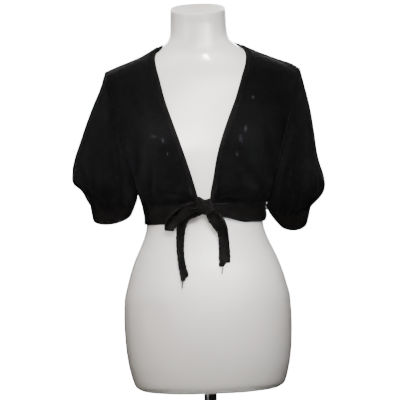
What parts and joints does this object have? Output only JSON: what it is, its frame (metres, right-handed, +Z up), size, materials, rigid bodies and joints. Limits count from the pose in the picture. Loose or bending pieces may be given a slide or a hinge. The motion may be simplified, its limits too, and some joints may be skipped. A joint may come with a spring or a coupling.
{
  "type": "wrap cardigan on dress form",
  "caption": "Cropped tie-front knitted cardigan with short gathered sleeves, worn on a limbless dress form that stands on a round base.",
  "frame": {"origin": "centre of the base plate's underside", "axes": "+Z up, the front of the garment faces -Y, +X is the wearer's left"},
  "size_m": [0.5055, 0.29, 0.9437],
  "materials": {
    "black_knit": "soft brushed black knit",
    "black_rib": "black rib knit",
    "form_shell": "satin off-white shell",
    "pole_steel": "polished",
    "base_paint": "satin off-white paint"
  },
  "bodies": {
    "root": {"back": "black_knit", "front_right": "black_knit", "front_left": "black_knit", "sleeve_right": "black_knit", "sleeve_left": "black_knit", "cuff_right": "black_rib", "cuff_left": "black_rib", "neck_band": "black_rib", "hem_band": "black_rib", "tie_knot": "black_rib", "tie_loop": "black_rib", "tie_tail_right": "black_rib", "tie_tail_left": "black_rib", "dress_form": "form_shell", "pole": "pole_steel", "base": "base_paint"}
  },
  "joints": []
}
